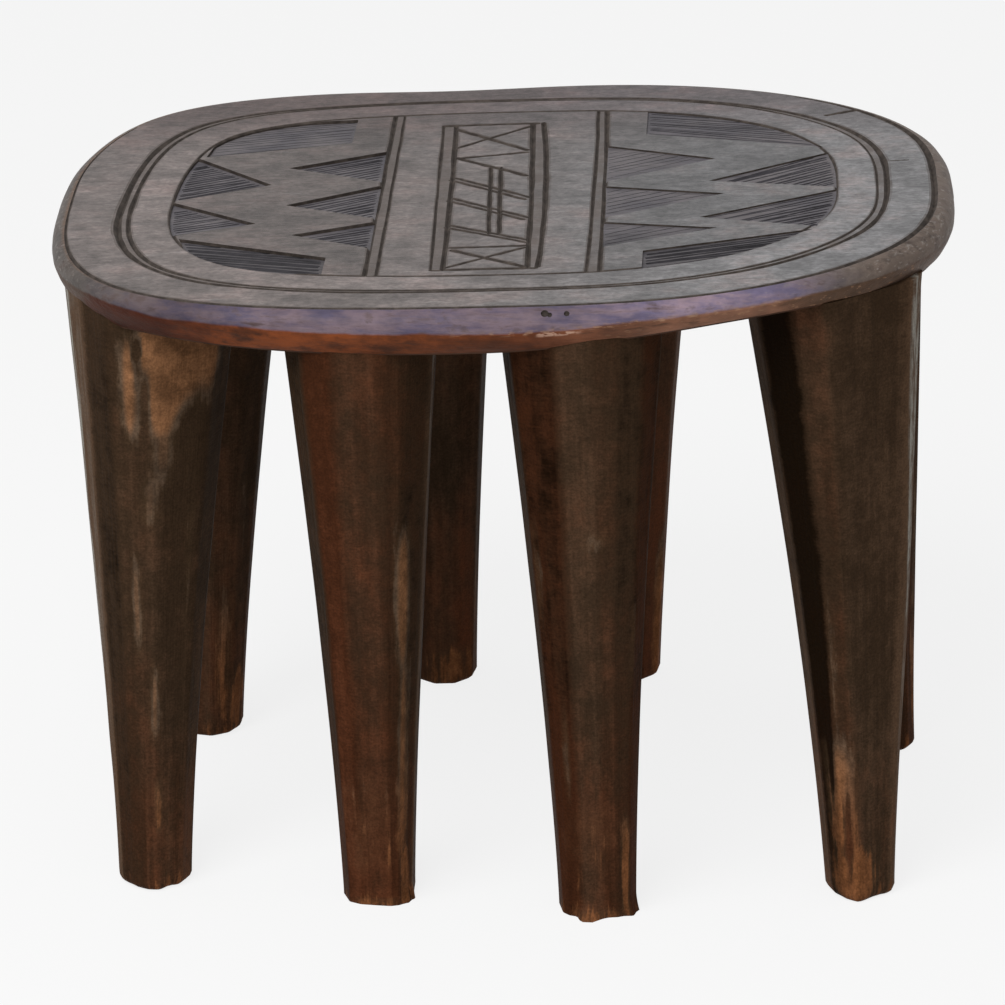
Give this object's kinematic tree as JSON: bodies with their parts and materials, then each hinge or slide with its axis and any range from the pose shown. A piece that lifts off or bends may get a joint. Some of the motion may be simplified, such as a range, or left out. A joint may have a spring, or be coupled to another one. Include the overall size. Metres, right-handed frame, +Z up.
{
  "type": "carved wooden stool",
  "caption": "Low oval wooden stool: a flat seat with a rolled rim and carved geometric top, on a ring of hewn legs that taper to small feet.",
  "frame": {"origin": "on the floor, under the middle of the seat", "axes": "+X to the right along the seat's longer side as the picture shows it, +Y to the back, +Z up"},
  "size_m": [0.4406, 0.3567, 0.3337],
  "materials": {
    "seat_wood": "weathered grey-brown hardwood, carved, worn satin",
    "leg_wood": "dark oiled hardwood, hewn, worn semi-gloss"
  },
  "bodies": {
    "root": {"seat": "seat_wood", "leg_front_left_outer": "leg_wood", "leg_front_left_inner": "leg_wood", "leg_front_right_inner": "leg_wood", "leg_front_right_outer": "leg_wood", "leg_back_left_outer": "leg_wood", "leg_back_left_inner": "leg_wood", "leg_back_right_inner": "leg_wood", "leg_back_right_outer": "leg_wood"}
  },
  "joints": []
}
